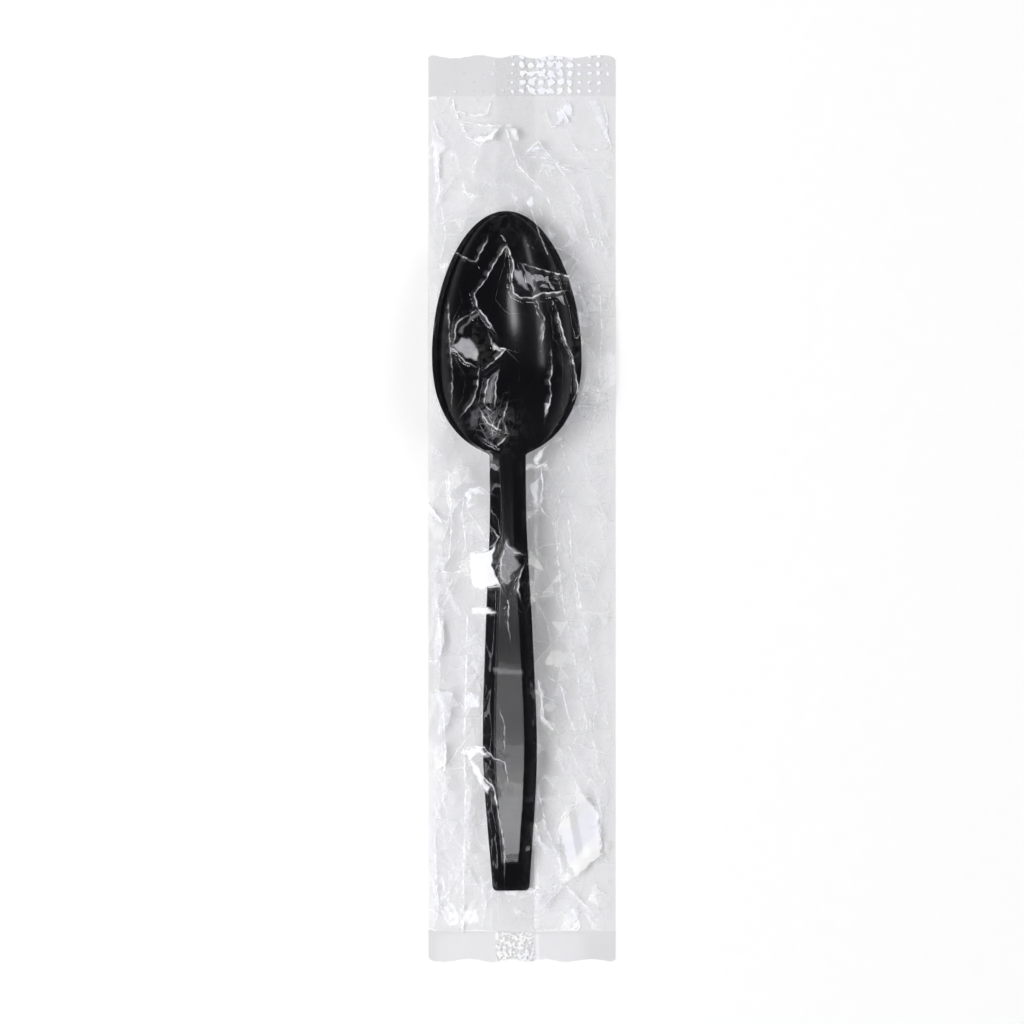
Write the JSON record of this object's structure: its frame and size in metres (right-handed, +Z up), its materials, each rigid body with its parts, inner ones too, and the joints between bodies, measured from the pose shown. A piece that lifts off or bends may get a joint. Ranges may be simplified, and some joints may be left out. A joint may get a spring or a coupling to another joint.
{
  "type": "wrapped plastic spoon",
  "caption": "Disposable plastic spoon sealed in a clear film sleeve with crimped ends and a fin seal along the back.",
  "frame": {"origin": "under the middle of the sleeve, on the surface that the pack lies on", "axes": "+Z up, out of the open side of the spoon's bowl; +Y along the pack towards the bowl's end; +X across the pack, to the right when the bowl is up"},
  "size_m": [0.042, 0.2035, 0.0145],
  "materials": {
    "black_plastic": "glossy injection-moulded polystyrene",
    "clear_film": "clear, slightly grey, crinkled polypropylene film"
  },
  "bodies": {
    "root": {"spoon": "black_plastic", "film_sleeve": "clear_film"}
  },
  "joints": []
}
